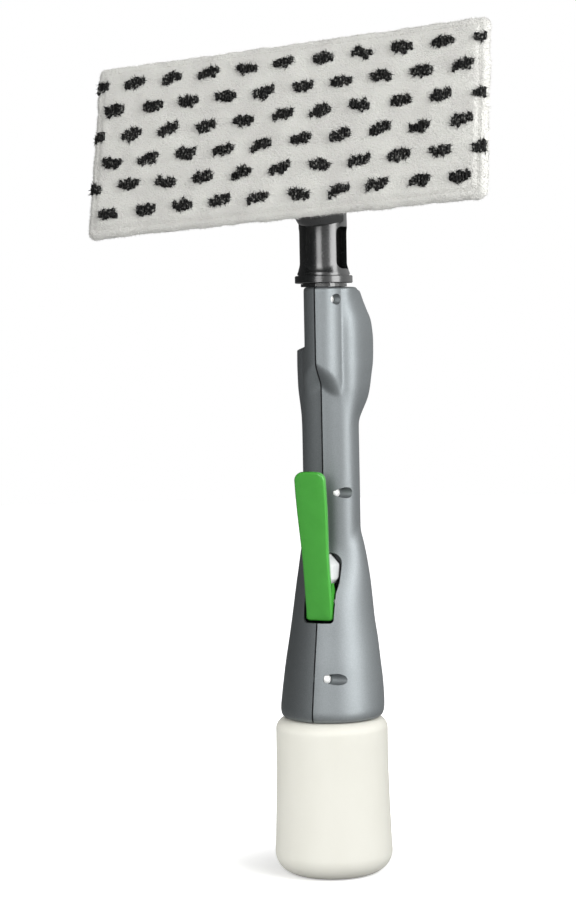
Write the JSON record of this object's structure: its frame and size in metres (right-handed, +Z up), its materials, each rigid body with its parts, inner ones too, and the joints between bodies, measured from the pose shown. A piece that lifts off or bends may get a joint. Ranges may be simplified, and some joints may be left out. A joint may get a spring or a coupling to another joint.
{
  "type": "window cleaning wand",
  "caption": "Hand-held window cleaning wand that stands on its screw-on water bottle, with a pump trigger and a jointed flat pad with scrubbing tufts.",
  "frame": {"origin": "centre of the bottle's base, on the surface it stands on", "axes": "+Z up along the bottle and handle; -Y is the front, the way the trigger and the pad face; +X is the side of the screw recesses"},
  "size_m": [0.2599, 0.1191, 0.5135],
  "materials": {
    "bottle_hdpe": "translucent natural polyethylene, blow-moulded, satin",
    "handle_abs": "metallic grey moulded plastic, semi-gloss",
    "trigger_abs": "green moulded plastic, semi-gloss",
    "white_acetal": "white moulded acetal, satin",
    "neck_abs": "near-black moulded plastic, semi-gloss",
    "zinc_steel": "zinc-plated steel",
    "black_rubber": "black rubber, matt",
    "clear_pe": "clear polyethylene tube",
    "pad_cloth": "off-white microfibre over foam",
    "tuft_fibre": "off-white microfibre face with black scrubbing tufts",
    "hook_tape": "black nylon hook tape"
  },
  "bodies": {
    "handle": {"handle_shell_left": "handle_abs", "handle_shell_right": "handle_abs", "screw_top": "zinc_steel", "screw_middle": "zinc_steel", "screw_bottom": "zinc_steel", "trigger_pin": "zinc_steel", "pump_cylinder": "white_acetal", "pump_spring": "zinc_steel", "inlet_valve": "black_rubber", "outlet_valve": "black_rubber", "delivery_tube": "clear_pe", "dip_tube": "clear_pe", "dip_filter": "white_acetal", "nozzle_body": "neck_abs", "bottle_socket": "white_acetal", "neck_spigot": "neck_abs", "neck_sleeve": "neck_abs", "roll_pin": "zinc_steel"},
    "trigger": {"trigger_lever": "trigger_abs"},
    "piston": {"piston_cap": "white_acetal", "pump_piston": "white_acetal", "piston_seal": "black_rubber"},
    "joint_block": {"joint_block": "neck_abs"},
    "head": {"head_plate": "neck_abs", "pitch_pin": "zinc_steel", "hook_strip_upper": "hook_tape", "hook_strip_lower": "hook_tape", "cleaning_pad": "pad_cloth", "scrub_tufts": "tuft_fibre"},
    "nozzle_cap": {"nozzle_cap": "neck_abs"},
    "gasket": {"bottle_gasket": "black_rubber"},
    "bottle": {"bottle": "bottle_hdpe"}
  },
  "joints": [
    {"name": "trigger_squeeze", "type": "hinge", "parent": "handle", "child": "trigger", "pos_m": [0, -0.012, 0.168], "axis": [-1, 0, 0], "range_deg": [0, 11], "stiffness_Nm_per_rad": 0.8, "springref_deg": -14.32},
    {"name": "piston_stroke", "type": "slide", "parent": "handle", "child": "piston", "axis": [0, 1, 0], "range_m": [0, 0.004], "deforming": ["pump_spring"]},
    {"name": "head_roll", "type": "hinge", "parent": "handle", "child": "joint_block", "pos_m": [0, -0.033, 0.436], "axis": [0, 1, 0], "range_deg": [-20, 20]},
    {"name": "head_pitch", "type": "hinge", "parent": "joint_block", "child": "head", "pos_m": [-0.00051, -0.033, 0.44599], "axis": [0.9987, 0, 0.0506], "range_deg": [-50, 23]},
    {"name": "nozzle_turn", "type": "hinge", "parent": "handle", "child": "nozzle_cap", "pos_m": [0, 0.0378, 0.3415], "axis": [0, 0.9397, 0.342], "range_deg": [0, 90]},
    {"name": "bottle_drop", "type": "slide", "parent": "handle", "child": "gasket", "axis": [0, 0, -1], "range_m": [0, 0.0081]},
    {"name": "bottle_turn", "type": "hinge", "parent": "gasket", "child": "bottle", "pos_m": [0, 0, 0], "axis": [0, 0, -1], "range_deg": [0, 720]}
  ],
  "couplings": [
    {"joint": "piston_stroke", "follows": "trigger_squeeze", "m_per_rad": 0.0203},
    {"joint": "bottle_drop", "follows": "bottle_turn", "m_per_rad": 0.00063662}
  ]
}
